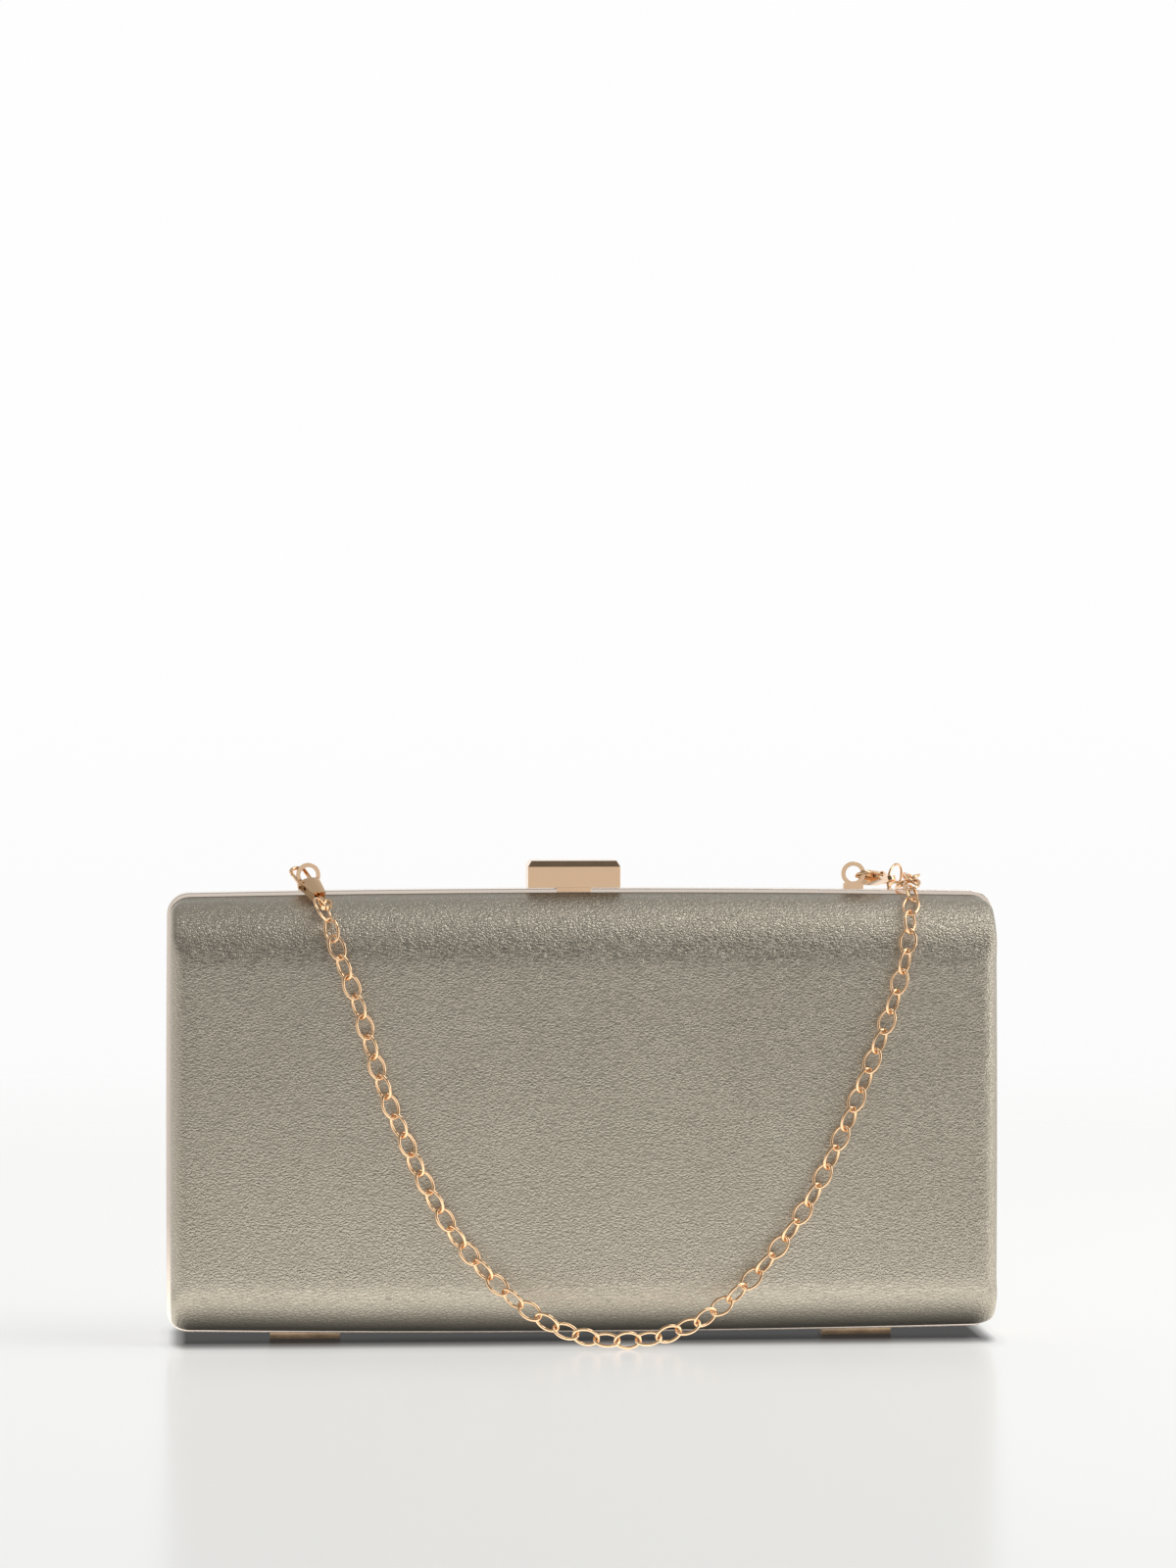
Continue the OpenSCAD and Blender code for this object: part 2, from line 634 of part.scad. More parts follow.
TOTAL = LEN[len(LEN) - 1];
TX = [for (i = [0 : len(ROUTE) - 1]) [LEN[i], ROUTE[i][0]]];
TY = [for (i = [0 : len(ROUTE) - 1]) [LEN[i], ROUTE[i][1]]];
TZ = [for (i = [0 : len(ROUTE) - 1]) [LEN[i], ROUTE[i][2]]];
// smoothed position at a distance along the route
function raw(s) = [lookup(s, TX), lookup(s, TY), lookup(s, TZ)];
function route(s) = (raw(s - 2.4) + raw(s - 1.2) + raw(s) + raw(s + 1.2) + raw(s + 2.4)) / 5;
start = 0.6;
finish = 0.4;
LINKS = 1 + round((TOTAL - start - finish) / link_pitch);
real_pitch = (TOTAL - start - finish) / (LINKS - 1);
function link_s(i) = start + i * real_pitch;
function link_c(i) = route(link_s(i));
function link_t(i) = unit(route(link_s(i) + 1.6) - route(link_s(i) - 1.6));
// direction away from the bag at a link
function out_dir(c) = c[2] > roll_z ? unit([0, c[1] - sign(c[1]) * min(abs(c[1]), rail_depth), c[2] - roll_z])
    : c[2] < 14 ? unit([0, -1, 0.5 * (14 - c[2]) / 12]) : [0, -1, 0];
roll_z = frame_z1 - cover_inset - shell_depth;

// an oval of four arcs: small ones at the ends, large ones along the sides
link_a = (link_length - link_wire) / 2;
link_b = (link_width - link_wire) / 2;
end_arc = 0.74 * link_b;
end_x = link_a - end_arc;
side_y = (pow(end_x, 2) - pow(link_b - end_arc, 2)) / (2 * (link_b - end_arc));
meet = atan2(side_y, end_x);
module arc(r, a0, a1) {
    rotate([0, 0, a0]) rotate_extrude(angle = a1 - a0) translate([r, 0])
        circle(r = link_wire / 2, $fn = 32);
}
module link() {
    for (s = [0, 180]) rotate([0, 0, s]) {
        translate([end_x, 0, 0]) arc(end_arc, -meet, 0);
        translate([end_x, 0, 0]) arc(end_arc, 0, meet);
        translate([0, -side_y, 0]) arc(side_y + link_b, meet, 180 - meet);
    }
}
function turn(i) = (i % 2 == 0 ? link_turn : -link_turn_back) + link_swing * sin(23 * i);
module links(i0, i1) {
    for (i = [i0 : i1]) along(link_c(i), link_t(i), cross(out_dir(link_c(i)), link_t(i)))
        rotate([turn(i), 0, 0]) link();
}
// first link of each stretch
function first_share(s) = round(LINKS * s / 61);
module chain_left_fall() { color("#E2B99A") links(0, first_share(17) - 1); }
module chain_floor() { color("#E2B99A") links(first_share(17), first_share(30) - 1); }
module chain_right_rise() { color("#E2B99A") links(first_share(30), first_share(47) - 1); }
module chain_over_rail() { color("#E2B99A") links(first_share(47), LINKS - 4); }
module chain_behind() { color("#E2B99A") links(LINKS - 3, LINKS - 1); }

cover_front();
core_front();
lining_front();
rail_front();
cover_back();
core_back();
lining_back();
rail_back();
hinge_leaves_front();
hinge_leaves_back();
hinge_pins();
lug_left();
lug_right();
clasp_block();
clasp_hook();
clasp_bracket();
clasp_pin();
clasp_spring();
bracket_rivets();
catch_plate();
catch_rivets();
snap_left();
snap_left_trigger();
snap_left_pin();
snap_left_spring();
snap_right();
snap_right_trigger();
snap_right_pin();
snap_right_spring();
ring_left();
ring_right();
chain_left_fall();
chain_floor();
chain_right_rise();
chain_over_rail();
chain_behind();
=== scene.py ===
"""Box clutch bag in creased metallic leather: covers, linings, materials, light and camera
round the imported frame. Metres. X to the right, Y to the back, Z up."""

import json
import math

import bmesh
import bpy
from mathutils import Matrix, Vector


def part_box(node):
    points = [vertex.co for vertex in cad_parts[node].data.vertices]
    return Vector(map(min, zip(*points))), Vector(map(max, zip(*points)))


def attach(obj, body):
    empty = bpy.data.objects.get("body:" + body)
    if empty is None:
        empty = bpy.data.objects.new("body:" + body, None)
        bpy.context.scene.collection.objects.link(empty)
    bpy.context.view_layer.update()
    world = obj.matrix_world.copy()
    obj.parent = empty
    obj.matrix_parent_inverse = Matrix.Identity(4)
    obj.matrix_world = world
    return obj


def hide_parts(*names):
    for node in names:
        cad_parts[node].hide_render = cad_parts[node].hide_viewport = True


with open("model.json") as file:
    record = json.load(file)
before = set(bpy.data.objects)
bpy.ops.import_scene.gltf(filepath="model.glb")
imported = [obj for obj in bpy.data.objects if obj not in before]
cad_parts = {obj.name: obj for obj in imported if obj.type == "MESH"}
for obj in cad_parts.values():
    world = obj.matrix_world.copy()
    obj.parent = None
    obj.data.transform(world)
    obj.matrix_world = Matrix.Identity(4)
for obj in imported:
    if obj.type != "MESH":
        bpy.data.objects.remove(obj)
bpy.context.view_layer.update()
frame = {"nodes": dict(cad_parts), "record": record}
NODES = frame["nodes"]

MM = 0.001

# Sizes read from the frame
rail_low, rail_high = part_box("rail_front")
cover_low, cover_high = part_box("cover_front")
FRAME_TOP = rail_high.z
FRAME_BOTTOM = rail_low.z
HALF_WIDTH = rail_high.x
MIDDLE = (FRAME_TOP + FRAME_BOTTOM) / 2
HALF_HEIGHT = (FRAME_TOP - FRAME_BOTTOM) / 2
RAIL_DEPTH = -rail_low.y
FACE = -cover_low.y
INSET = HALF_WIDTH - cover_high.x
TOP_ROLL = FACE - RAIL_DEPTH

# Sizes that no box in the frame gives
BOTTOM_ROLL = 14 * MM
CROWN = 1.0 * MM  # how far the top and bottom edges fall back from the middle to the corners
SIDE_BOW = 0.25 * MM  # how far the ends lean in from half height to the corners
END_RADIUS = 4.2 * MM  # from the face into the ends
CORNER_RADIUS = 5.5 * MM  # in the outline of the frame
SMALLEST_RADIUS = 1.2 * MM
COVER_START = 5.5 * MM  # in front of the parting plane
LINING_START = 1.25 * MM
LINING_INSET = 3.70 * MM  # from the frame's outline to the outer side of the lining
LINING_CLOTH = 0.45 * MM  # from there to the sheet that is seen

# The ends are rounded tighter half way round the rolls. The angles are in degrees, from
# the level stretch at 0 to the face at 90
TIGHTER_BY = 2.8 * MM
TIGHT_MIDDLE, TIGHT_REACH, TIGHT_FADE = 46, 14, 26

# How finely a shell is divided: round an end's edge, down its flat wall, across the face
TURN_STEPS, WALL_STEPS, FACE_STEPS = 7, 8, 72
SAME_PLACE = 1e-8
FAN_SLOPE, FAN_REACH = 0.02, 10 * MM

# Rims turned in: distance inwards and y of each row
COVER_RIM = [
    (0.05 * MM, -5.28 * MM), (0.16 * MM, -5.12 * MM), (0.35 * MM, -5.06 * MM), (0.45 * MM, -5.05 * MM),
]
LINING_RIM = [(-0.06 * MM, -1.05 * MM), (-0.2 * MM, -0.97 * MM), (-0.38 * MM, -0.96 * MM)]


def smooth(t):
    t = max(0.0, min(1.0, t))
    return t * t * (3 - 2 * t)


# Shell surfaces
def profile(inset, start):
    """Side view of a shell as (y, z, ny, nz, distance along it), from the bottom rail
    round the face to the top rail. start is how far in front of the parting plane it begins."""
    top, bottom = FRAME_TOP - inset, FRAME_BOTTOM + inset
    roll = TOP_ROLL - (inset - INSET)
    low = BOTTOM_ROLL - (inset - INSET)
    face = RAIL_DEPTH + roll
    points = []

    def line(y0, z0, y1, z1, ny, nz, n):
        for i in range(n):
            t = i / n
            points.append((y0 + (y1 - y0) * t, z0 + (z1 - z0) * t, ny, nz))

    def arc(cy, cz, r, a0, a1, n):
        for i in range(n):
            a = math.radians(a0 + (a1 - a0) * i / n)
            points.append((cy + r * math.cos(a), cz + r * math.sin(a), math.cos(a), math.sin(a)))

    # the last number of each is how many steps it takes
    line(-start, bottom, -face + low, bottom, 0, -1, 5)
    arc(-face + low, bottom + low, low, 270, 180, 16)
    line(-face, bottom + low, -face, top - roll, -1, 0, 26)
    arc(-RAIL_DEPTH, top - roll, roll, 180, 90, 22)
    if start < RAIL_DEPTH:
        line(-RAIL_DEPTH, top, -start, top, 0, 1, 3)
    points.append((-min(start, RAIL_DEPTH), top, 0, 1))
    # a shell that begins in front of the top roll's end is cut off there
    points = [p for p in points if p[0] <= -start + 1e-9]
    if points[-1][0] < -start - 1e-6:
        points.append((-start, top, 0, 1))
    side, run = [], 0.0
    for before, p in zip(points[:1] + points, points):
        run += math.dist(p[:2], before[:2])
        side.append((*p, run))
    return side


def spot(v):
    return tuple(round(c, 9) for c in v.co)


def turn_rim(bm, depth, y):
    """A new row along the rim, at y and inwards by depth."""
    edges = [e for e in bm.edges if e.is_boundary]
    outwards = {}
    for v in {v for e in edges for v in e.verts}:
        near = [e.other_vert(v) for e in v.link_edges if e.is_boundary] + [v]
        along = near[0].co - near[1].co
        out = Vector((along.z, 0, -along.x)).normalized()
        if out.dot(Vector((v.co.x / HALF_WIDTH, 0, (v.co.z - MIDDLE) / HALF_HEIGHT))) < 0:
            out = -out
        outwards[spot(v)] = out
    made = bmesh.ops.extrude_edge_only(bm, edges=edges)
    for v in made["geom"]:
        if isinstance(v, bmesh.types.BMVert):
            out = outwards[spot(v)]
            v.co = Vector((v.co.x, y, v.co.z)) - out * depth


def turn_faces(bm, inward):
    """Makes all faces look out of the shell, or into it."""
    bmesh.ops.recalc_face_normals(bm, faces=bm.faces)
    bm.normal_update()
    in_front = Vector((0, -1, MIDDLE))
    middle_face = min(bm.faces, key=lambda f: (f.calc_center_median() - in_front).length)
    if (middle_face.normal.y > 0) != inward:
        bmesh.ops.reverse_faces(bm, faces=bm.faces)


def place_mesh(name, bm):
    """An object in the scene made of the bmesh."""
    mesh = bpy.data.meshes.new(name)
    bm.to_mesh(mesh)
    bm.free()
    obj = bpy.data.objects.new(name, mesh)
    bpy.context.scene.collection.objects.link(obj)
    return obj


def shell(name, inset, start, rim, inward=False, wave=None):
    """A half shell as one smooth sheet, set in from the frame's outline. start is how far in
    front of the parting plane it begins, rim its turned rows as (distance inwards, y). inward
    makes the inner side the outside, and wave gives the sheet's height above its even form."""
    side = profile(inset, start)
    length = side[-1][4]
    wide = HALF_WIDTH - inset
    corner = max(CORNER_RADIUS - inset, SMALLEST_RADIUS)
    end = max(END_RADIUS - (inset - INSET), SMALLEST_RADIUS)
    bm = bmesh.new()

    def radius(ny, nz):
        angle = math.degrees(math.atan2(abs(ny), abs(nz)))
        broad = corner + (end - corner) * smooth(angle / 90)
        tight = 1 - smooth((abs(angle - TIGHT_MIDDLE) - TIGHT_REACH) / TIGHT_FADE)
        return max(broad - TIGHTER_BY * tight, SMALLEST_RADIUS)

    def place(x, y, z):
        u = (z - MIDDLE) / HALF_HEIGHT
        crowned = z - CROWN * (x / HALF_WIDTH) ** 2 * u
        bowed = x - SIDE_BOW * u * u * x / wide
        return bm.verts.new((bowed, y, crowned))

    def face_column(t):
        return [place(t * (wide - radius(ny, nz)), y, z) for y, z, ny, nz, run in side]

    def edge_column(s, a):
        column = []
        for y, z, ny, nz, run in side:
            r = radius(ny, nz)
            back = r * (1 - math.cos(a))
            column.append(place(s * (wide - r + r * math.sin(a)), y - ny * back, z - nz * back))
        return column

    def wall_column(s, t):
        column = []
        for y, z, ny, nz, run in side:
            r = radius(ny, nz)
            y0, z0 = y - ny * r, z - nz * r
            # points of the straight stretches are fanned out a hair, so that none coincide
            fan = FAN_SLOPE * (min(run, FAN_REACH) - min(length - run, FAN_REACH))
            column.append(place(s * wide, y0 + (-start - y0) * t, z0 + (z - nz * corner + fan - z0) * t))
        return column

    left, right = (
        [edge_column(s, math.pi / 2 * k / TURN_STEPS) for k in range(1, TURN_STEPS + 1)]
        + [wall_column(s, k / WALL_STEPS) for k in range(1, WALL_STEPS + 1)]
        for s in (-1, 1)
    )
    middle = [face_column(2 * i / FACE_STEPS - 1) for i in range(FACE_STEPS + 1)]
    columns = left[::-1] + middle + right
    for a, b in zip(columns, columns[1:]):
        for j in range(len(side) - 1):
            bm.faces.new((a[j], b[j], b[j + 1], a[j + 1]))
    bmesh.ops.remove_doubles(bm, verts=bm.verts, dist=SAME_PLACE)
    # the rim's faces follow the way the sheet's look, so the sheet is turned first
    turn_faces(bm, inward=False)
    for depth, y in rim:
        turn_rim(bm, depth, y)
    turn_faces(bm, inward)
    if wave:
        for v in bm.verts:
            v.co += v.normal * wave(v.co)
    for f in bm.faces:
        f.smooth = True
    return place_mesh(name, bm)


def mirrored(obj, name):
    """The same sheet for the back half."""
    bm = bmesh.new()
    bm.from_mesh(obj.data)
    for v in bm.verts:
        v.co.y = -v.co.y
    bmesh.ops.reverse_faces(bm, faces=bm.faces)
    return place_mesh(name, bm)


# Materials
class Graph:
    """Short hand for building a node tree."""

    def __init__(self, tree):
        self.tree = tree

    def add(self, kind, **values):
        node = self.tree.nodes.new(kind)
        for key, value in values.items():
            setattr(node, key, value)
        return node

    def give(self, socket, value):
        """Links a node's output to the socket, or writes a fixed value into it."""
        if isinstance(value, bpy.types.NodeSocket):
            self.tree.links.new(value, socket)
        else:
            socket.default_value = value

    def math(self, operation, a, b=None):
        node = self.add("ShaderNodeMath", operation=operation)
        self.give(node.inputs[0], a)
        if b is not None:
            self.give(node.inputs[1], b)
        return node.outputs[0]

    def mapped(self, scale, rotation=(0, 0, 0), source=None):
        if source is None:
            source = self.add("ShaderNodeTexCoord").outputs["Object"]
        node = self.add("ShaderNodeMapping")
        node.inputs["Scale"].default_value = scale
        node.inputs["Rotation"].default_value = rotation
        self.give(node.inputs["Vector"], source)
        return node.outputs[0]

    def in_millimetres(self):
        return self.mapped((1000, 1000, 1000))

    def noise(self, vector, scale, detail, rough=0.5):
        node = self.add("ShaderNodeTexNoise")
        node.inputs["Scale"].default_value = scale
        node.inputs["Detail"].default_value = detail
        node.inputs["Roughness"].default_value = rough
        self.give(node.inputs["Vector"], vector)
        return node

    def ramp(self, value, stops):
        """Colours or greys at their places between 0 and 1."""
        node = self.add("ShaderNodeValToRGB")
        while len(node.color_ramp.elements) < len(stops):
            node.color_ramp.elements.new(0.5)
        for element, (at, colour) in zip(node.color_ramp.elements, stops):
            element.position = at
            element.color = (*colour, 1) if hasattr(colour, "__len__") else (colour, colour, colour, 1)
        self.give(node.inputs["Fac"], value)
        return node.outputs["Color"]

    def spread(self, value, low, high, out_low, out_high, curve="LINEAR"):
        node = self.add("ShaderNodeMapRange", interpolation_type=curve)
        for key, x in zip(("From Min", "From Max", "To Min", "To Max"), (low, high, out_low, out_high)):
            node.inputs[key].default_value = x
        self.give(node.inputs["Value"], value)
        return node.outputs["Result"]

    def mix(self, factor, a, b, kind="MIX"):
        node = self.add("ShaderNodeMix", data_type="RGBA", blend_type=kind)
        for key, value in (("Factor", factor), ("A", a), ("B", b)):
            self.give(node.inputs[key], value)
        return node.outputs["Result"]

    def bump(self, height, strength, distance, normal=None):
        node = self.add("ShaderNodeBump")
        node.inputs["Strength"].default_value = strength
        node.inputs["Distance"].default_value = distance
        self.give(node.inputs["Height"], height)
        if normal is not None:
            self.give(node.inputs["Normal"], normal)
        return node.outputs["Normal"]


class Surface(Graph):
    """The node tree of a new material."""

    def __init__(self, name):
        self.material = bpy.data.materials.new(name)
        self.material.use_nodes = True
        super().__init__(self.material.node_tree)
        self.shader = self.tree.nodes["Principled BSDF"]

    def shade(self, **values):
        """Sets the shader's sockets, with _ for a space in their names."""
        for key, value in values.items():
            self.give(self.shader.inputs[key.replace("_", " ")], value)


def leather_material(name):
    """Metallic leather: flat pebbles between fine creases that run in all directions."""
    m = Surface(name)
    p = m.in_millimetres()
    # creases wander: the pattern is pushed about before the cells are drawn
    push = m.noise(p, scale=0.45, detail=3)
    warped = m.mix(0.5, p, push.outputs["Color"], kind="LINEAR_LIGHT")

    def creases(turn, stretch, scale, width):
        cells = m.add("ShaderNodeTexVoronoi", feature="DISTANCE_TO_EDGE")
        cells.inputs["Scale"].default_value = scale
        m.give(cells.inputs["Vector"], m.mapped(stretch, (0, math.radians(turn), 0), warped))
        return m.spread(cells.outputs["Distance"], 0.0, width, 0.0, 1.0)

    coarse = creases(28, (0.75, 1.0, 1.35), 1.0, 0.22)
    small = creases(-35, (1.2, 1.0, 0.8), 2.1, 0.25)
    fine = m.noise(warped, scale=3.2, detail=3, rough=0.6)
    broad = m.noise(p, scale=0.035, detail=2)
    height = m.math("ADD", m.math("MULTIPLY", coarse, 0.55), m.math("MULTIPLY", small, 0.25))
    height = m.math("ADD", height, m.math("MULTIPLY", fine.outputs["Fac"], 0.5))
    soft = m.bump(broad.outputs["Fac"], 0.25, 0.3 * MM)
    # the colour is painted shade down in the creases, darker where the height is low, with broad patches of
    # the leather's own tone
    hollow_shade_and_tone = m.math("ADD", m.math("MULTIPLY", height, 0.5), m.math("MULTIPLY", broad.outputs["Fac"], 0.3))
    tones = [(0.2, (0.375, 0.335, 0.268)), (0.5, (0.465, 0.420, 0.341)), (0.8, (0.520, 0.470, 0.385))]
    m.shade(
        Base_Color=m.ramp(hollow_shade_and_tone, tones),
        Metallic=0.9,
        Roughness=m.spread(height, 0.3, 1.0, 0.36, 0.28),
        Normal=m.bump(height, 1.0, 0.12 * MM, soft),
    )
    return m.material


def metal_material(name, colour, rough, edge):
    """Polished metal with faint hairlines and clouds. edge is the radius of its worn edges."""
    m = Surface(name)
    p = m.in_millimetres()
    cloud = m.noise(p, scale=0.25, detail=3).outputs["Fac"]
    hairlines = m.noise(m.mapped((0.4, 6, 6), (0, 0.5, 0.3), p), scale=1.0, detail=2)
    worn_edge = m.add("ShaderNodeBevel", samples=4)
    worn_edge.inputs["Radius"].default_value = edge
    darker = tuple(c * 0.93 for c in colour)
    m.shade(
        Base_Color=m.ramp(cloud, [(0.3, darker), (0.7, colour)]),
        Metallic=1.0,
        Roughness=m.spread(cloud, 0.3, 0.7, rough * 0.75, rough * 1.25),
        Normal=m.bump(hairlines.outputs["Fac"], 0.05, 0.01 * MM, worn_edge.outputs["Normal"]),
    )
    return m.material


def fabric_material(name):
    """Dark satin with a fine weave."""
    m = Surface(name)
    p = m.in_millimetres()

    def threads(direction, scale):
        wave = m.add("ShaderNodeTexWave", wave_type="BANDS", bands_direction=direction)
        wave.inputs["Scale"].default_value = scale
        wave.inputs["Distortion"].default_value = 0.4
        m.give(wave.inputs["Vector"], p)
        return wave.outputs["Fac"]

    height = m.math("MAXIMUM", threads("X", 1.15), m.math("MULTIPLY", threads("Z", 0.9), 0.8))
    patch = m.noise(p, scale=0.08, detail=2).outputs["Fac"]
    # the colour is painted shade between the threads, darker where the weave is low, with patches of the
    # cloth's own tone
    hollow_shade_and_tone = m.math("ADD", m.math("MULTIPLY", height, 0.5), m.math("MULTIPLY", patch, 0.5))
    m.shade(
        Base_Color=m.ramp(hollow_shade_and_tone, [(0.2, (0.060, 0.050, 0.043)), (0.8, (0.135, 0.112, 0.095))]),
        Roughness=0.55,
        Sheen_Weight=0.35,
        Sheen_Roughness=0.4,
        Normal=m.bump(height, 0.5, 0.06 * MM),
    )
    return m.material


def plastic_material(name):
    """Dark moulded plastic with a fine grain."""
    m = Surface(name)
    grain = m.noise(m.in_millimetres(), scale=2.5, detail=3).outputs["Fac"]
    m.shade(
        Base_Color=m.ramp(grain, [(0.3, (0.045, 0.040, 0.037)), (0.7, (0.085, 0.076, 0.070))]),
        Roughness=m.spread(grain, 0.3, 0.7, 0.5, 0.62),
        Normal=m.bump(grain, 0.35, 0.03 * MM),
    )
    return m.material


leather = leather_material("creased_leather")
lining_cloth = fabric_material("lining_satin")
clasp_gold = metal_material("clasp_rose_gold", (0.97, 0.67, 0.43), rough=0.14, edge=0.14 * MM)

BY_SLOT = {
    "leather": leather,
    "core": plastic_material("core_moulding"),
    "lining": lining_cloth,
    "frame_metal": metal_material("frame_rose_gold", (0.97, 0.84, 0.73), rough=0.11, edge=0.4 * MM),
    "clasp_metal": clasp_gold,
    "chain_metal": metal_material("chain_rose_gold", (0.94, 0.63, 0.38), rough=0.10, edge=0.05 * MM),
    "pin_metal": metal_material("pin_rose_gold", (0.80, 0.58, 0.43), rough=0.2, edge=0.05 * MM),
    "spring_steel": metal_material("spring_steel", (0.62, 0.62, 0.62), rough=0.25, edge=0.05 * MM),
}
SLOT = {row["node"]: row["material_slot"] for row in frame["record"]["subparts"]}
# lugs and hinges take the clasp's darker gold, not the pale rails'; on the hinges the darker gold is
# painted shade, for the shadow under the bag
FITTINGS = ("lug_left", "lug_right", "hinge_leaves_front", "hinge_leaves_back")
for node_name, obj in NODES.items():
    obj.data.materials.clear()
    obj.data.materials.append(clasp_gold if node_name in FITTINGS else BY_SLOT[SLOT[node_name]])


# Leather covers and linings
def gathers(co):
    """Soft waves of the glued cloth, a little stronger towards the ends."""
    across = math.sin(co.x * 95 + 2.1 * math.sin(co.z * 60))
    down = math.sin(co.z * 80 + 1.3 * math.sin(co.x * 45))
    near_end = smooth((abs(co.x) - 0.085) / 0.015)
    return (0.07 + 0.10 * near_end) * MM * (across * down)


cover = shell("leather_front", INSET, COVER_START, COVER_RIM)
cover_back = mirrored(cover, "leather_back")
for obj, node_name, body in ((cover, "cover_front", "front_case"), (cover_back, "cover_back", "back_case")):
    obj.data.materials.append(leather)
    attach(obj, body)
    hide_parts(node_name)

lining = shell("lining_front_cloth", LINING_INSET + LINING_CLOTH, LINING_START, LINING_RIM,
               inward=True, wave=gathers)
lining_back = mirrored(lining, "lining_back_cloth")
for obj, node_name, body in (
    (lining, "lining_front", "front_case"),
    (lining_back, "lining_back", "back_case"),
):
    obj.data.materials.append(lining_cloth)
    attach(obj, body)
    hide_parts(node_name)


# Table top
def table_material(name):
    """White table top with a painted glow, kept dark under the bag by a painted shadow on its colour,
    reflection and glow, and fading out far away.
    """
    foot_x, foot_y = 0.100, 0.012  # half the patch kept dark by the painted shadow under the bag
    steeper = 3.5  # the painted shadow ends sooner beside the bag than in front of it
    softness = 0.05
    # painted glow of the table itself, and painted reflection glow added where the bag mirrors it close by
    painted_glow, painted_glow_in_mirror = 0.46, 0.85
    m = Surface(name)
    where = m.add("ShaderNodeTexCoord").outputs["Object"]
    axes = m.add("ShaderNodeSeparateXYZ")
    m.give(axes.inputs[0], where)

    def past(axis, reach):
        return m.math("MAXIMUM", m.math("SUBTRACT", m.math("ABSOLUTE", axes.outputs[axis]), reach), 0.0)

    def square(value):
        return m.math("MULTIPLY", value, value)

    beside = m.math("MULTIPLY", past("X", foot_x), steeper)
    beyond = m.math("SQRT", m.math("ADD", square(beside), square(past("Y", foot_y))))
    # the painted shadow's edge, from dark under the bag to fully lit
    edge = [(0.0, 0.05), (0.16, 0.30), (0.32, 0.90), (0.5, 1.0)]
    painted_light = m.ramp(m.math("MULTIPLY", beyond, 1 / softness), edge)

    # painted reflection: seen mirrored in the bag, the table glows brighter close to it and ends sooner
    # (metres from the middle of the bag)
    length = m.add("ShaderNodeVectorMath", operation="LENGTH")
    m.give(length.inputs[0], where)
    apart = length.outputs["Value"]
    mirrored_ray = m.add("ShaderNodeLightPath").outputs["Is Glossy Ray"]
    near = m.math("MULTIPLY", m.spread(apart, 0.08, 0.36, painted_glow_in_mirror, 0), mirrored_ray)
    mirrored_fade = m.math("MULTIPLY", m.spread(apart, 0.13, 0.40, 0, 1), mirrored_ray)
    fade = m.math("MAXIMUM", m.spread(apart, 0.5, 0.95, 0, 1), mirrored_fade)
    # colour, reflection and glow are all dimmed by the painted shadow under the bag
    m.shade(
        Base_Color=m.ramp(painted_light, [(0.0, (0.0, 0.0, 0.0)), (1.0, (0.46, 0.46, 0.452))]),
        Roughness=0.2,
        IOR=1.07,
        Specular_IOR_Level=m.math("MULTIPLY", painted_light, 0.5),
        Emission_Color=(1.0, 1.0, 0.985, 1),
        Emission_Strength=m.math("MULTIPLY", painted_light, m.math("ADD", near, painted_glow)),
    )
    blend = m.add("ShaderNodeMixShader")
    m.give(blend.inputs[0], fade)
    m.give(blend.inputs[1], m.shader.outputs[0])
    m.give(blend.inputs[2], m.add("ShaderNodeBsdfTransparent").outputs[0])
    m.give(m.tree.nodes["Material Output"].inputs["Surface"], blend.outputs[0])
    return m.material


bm = bmesh.new()
bmesh.ops.create_circle(bm, cap_ends=True, cap_tris=False, segments=96, radius=2.4)
table = place_mesh("table_top", bm)
table.data.materials.append(table_material("table_white_painted_light"))


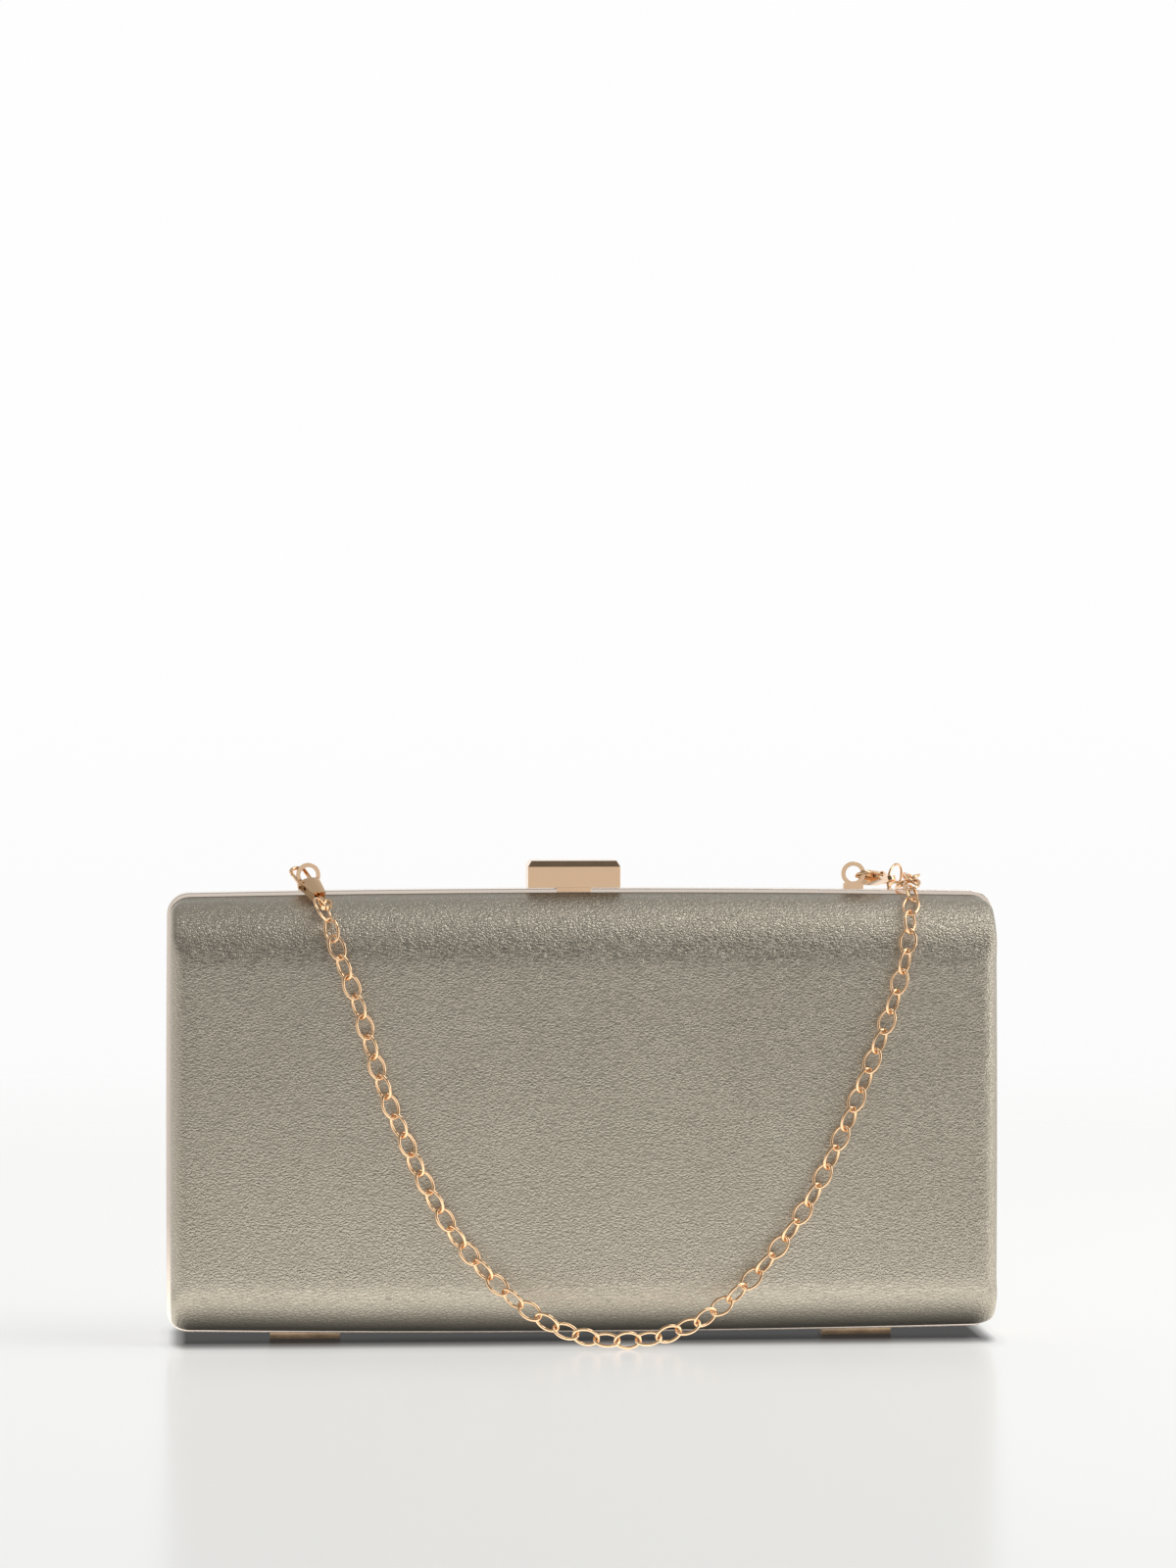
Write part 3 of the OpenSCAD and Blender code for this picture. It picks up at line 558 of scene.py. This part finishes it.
# Surroundings
def studio():
    """Light from all round, with the room in front of the bag darker. Greys lie between
    straight down at 0, level at 0.5 and straight up at 1."""
    room_behind = [(0.0, 1.0), (0.6, 1.0), (0.8, 0.55), (1.0, 0.40)]
    # light about eye level, dark above it
    room_in_front = [
        (0.0, 0.90), (0.25, 0.70), (0.40, 0.52), (0.465, 0.72), (0.49, 0.72), (0.52, 0.40),
        (0.58, 0.24), (0.66, 0.12), (0.76, 0.10), (0.88, 0.18), (1.0, 0.45),
    ]
    backdrop = [(0.0, 0.92), (0.40, 0.93), (0.475, 0.975), (0.5, 0.99)]
    world = bpy.data.worlds.new("studio")
    world.use_nodes = True
    w = Graph(world.node_tree)
    w.tree.nodes.clear()
    split = w.add("ShaderNodeSeparateXYZ")
    w.give(split.inputs[0], w.add("ShaderNodeTexCoord").outputs["Generated"])
    up = w.math("ADD", w.math("MULTIPLY", split.outputs["Z"], 0.5), 0.5)
    in_front = w.spread(split.outputs["Y"], -0.25, -0.75, 0, 1, curve="SMOOTHSTEP")
    light = w.mix(in_front, w.ramp(up, room_behind), w.ramp(up, room_in_front))
    path = w.add("ShaderNodeLightPath")
    by_eye = w.math("MAXIMUM", path.outputs["Is Camera Ray"], path.outputs["Is Transmission Ray"])
    background = w.add("ShaderNodeBackground")
    w.give(background.inputs["Color"], w.mix(by_eye, light, w.ramp(up, backdrop)))
    background.inputs["Strength"].default_value = 1.0
    w.give(w.add("ShaderNodeOutputWorld").inputs["Surface"], background.outputs[0])
    return world


def softbox(name, at, width, height, radiance):
    """A soft panel lamp turned to the bag, whose brightness is given as seen from there."""
    bag = Vector((0, 0, 0.06))
    lamp = bpy.data.lights.new(name, "AREA")
    lamp.shape = "RECTANGLE"
    lamp.size, lamp.size_y = width, height
    lamp.energy = radiance * math.pi * width * height
    obj = bpy.data.objects.new(name, lamp)
    obj.location = at
    obj.rotation_euler = (bag - Vector(at)).to_track_quat("-Z", "Y").to_euler()
    bpy.context.scene.collection.objects.link(obj)


bpy.context.scene.world = studio()
softbox("overhead", (0.42, -0.14, 0.95), width=0.62, height=0.42, radiance=3.0)
softbox("right_panel", (0.85, -0.25, 0.35), width=0.35, height=0.7, radiance=2.4)

# Camera. The picture's size, the lens and the level point straight ahead are in pixels
PICTURE_WIDTH, PICTURE_HEIGHT = 1200, 1600
LENS = 6024
AHEAD_X, AHEAD_Y = 592.2, 659
SENSOR = 36
DISTANCE, EYE_HEIGHT, TURN = 1.5, 0.175, math.radians(4)
camera = bpy.data.cameras.new("camera")
camera.lens = LENS / PICTURE_HEIGHT * SENSOR
camera.sensor_width = SENSOR
camera.shift_x = (PICTURE_WIDTH / 2 - AHEAD_X) / PICTURE_HEIGHT
camera.shift_y = (AHEAD_Y - PICTURE_HEIGHT / 2) / PICTURE_HEIGHT
camera.clip_start, camera.clip_end = 0.05, 30
view_from = bpy.data.objects.new("camera", camera)
view_from.location = (-DISTANCE * math.sin(TURN), -DISTANCE * math.cos(TURN), EYE_HEIGHT)
view_from.rotation_euler = (math.pi / 2, 0, -TURN)
bpy.context.scene.collection.objects.link(view_from)
bpy.context.scene.camera = view_from
bpy.context.scene.view_settings.view_transform = "Standard"
